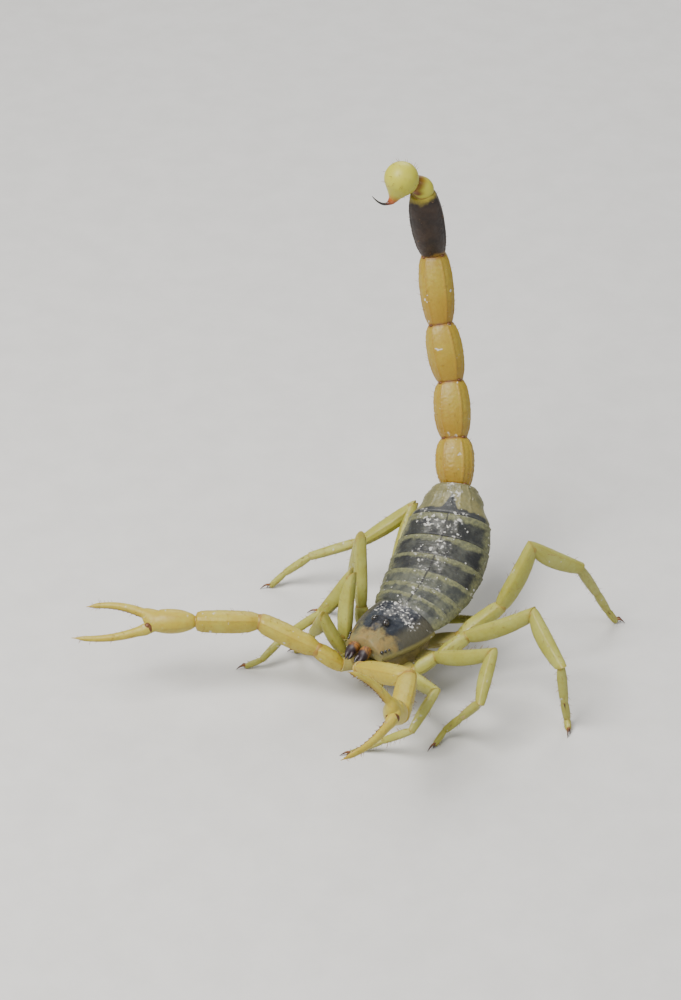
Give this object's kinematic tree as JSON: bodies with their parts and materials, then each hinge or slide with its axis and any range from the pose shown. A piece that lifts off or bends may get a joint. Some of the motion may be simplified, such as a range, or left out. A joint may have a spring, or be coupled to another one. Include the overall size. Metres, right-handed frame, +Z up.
{
  "type": "deathstalker scorpion figure",
  "caption": "Life-size model of a yellow deathstalker scorpion standing with raised tail, one claw stretched out and the other open in front.",
  "frame": {"origin": "Centre of the bounding box on the floor, which all eight feet stand on.", "axes": "+Z is up. The back line runs from the head, near the origin, towards +Y, where the tail rises; the head faces between -X and -Y and the stretched claw points to -X."},
  "size_m": [0.0652, 0.0666, 0.0518],
  "materials": {
    "shield": "satin dark olive shield, orange-yellow in front",
    "back": "satin dark olive back plates with paler rear bands",
    "amber": "satin amber-yellow shell",
    "dusk": "satin dark brown shell",
    "lemon": "satin pale lemon shell",
    "claw": "glossy orange-red to black point",
    "eye": "glossy black bead"
  },
  "bodies": {
    "root": {"body_segment_1": "back", "body_segment_2": "back", "body_segment_3": "back", "body_segment_4": "back", "body_segment_5": "back", "body_segment_6": "back", "body_segment_7": "back", "carapace": "shield", "chelicera_left": "amber", "chelicera_right": "amber", "eye_left": "eye", "eye_right": "eye", "leg_left_1_knee": "lemon", "leg_left_1_shin": "lemon", "leg_left_1_thigh": "lemon", "leg_left_2_knee": "lemon", "leg_left_2_shin": "lemon", "leg_left_2_thigh": "lemon", "leg_left_3_knee": "lemon", "leg_left_3_shin": "lemon", "leg_left_3_thigh": "lemon", "leg_left_4_knee": "lemon", "leg_left_4_shin": "lemon", "leg_left_4_thigh": "lemon", "leg_right_1_knee": "lemon", "leg_right_1_shin": "lemon", "leg_right_1_thigh": "lemon", "leg_right_2_knee": "lemon", "leg_right_2_shin": "lemon", "leg_right_2_thigh": "lemon", "leg_right_3_knee": "lemon", "leg_right_3_shin": "lemon", "leg_right_3_thigh": "lemon", "leg_right_4_knee": "lemon", "leg_right_4_shin": "lemon", "leg_right_4_thigh": "lemon", "palp_left_femur": "amber", "palp_left_finger": "amber", "palp_left_hand": "amber", "palp_left_patella": "amber", "palp_left_trochanter": "amber", "palp_right_femur": "amber", "palp_right_finger": "amber", "palp_right_hand": "amber", "palp_right_patella": "amber", "palp_right_trochanter": "amber", "pectine_left": "lemon", "pectine_right": "lemon", "sting": "claw", "tail_segment_1": "amber", "tail_segment_2": "amber", "tail_segment_3": "amber", "tail_segment_4": "amber", "tail_segment_5": "dusk", "underside": "lemon", "venom_bulb": "lemon"}
  },
  "joints": []
}
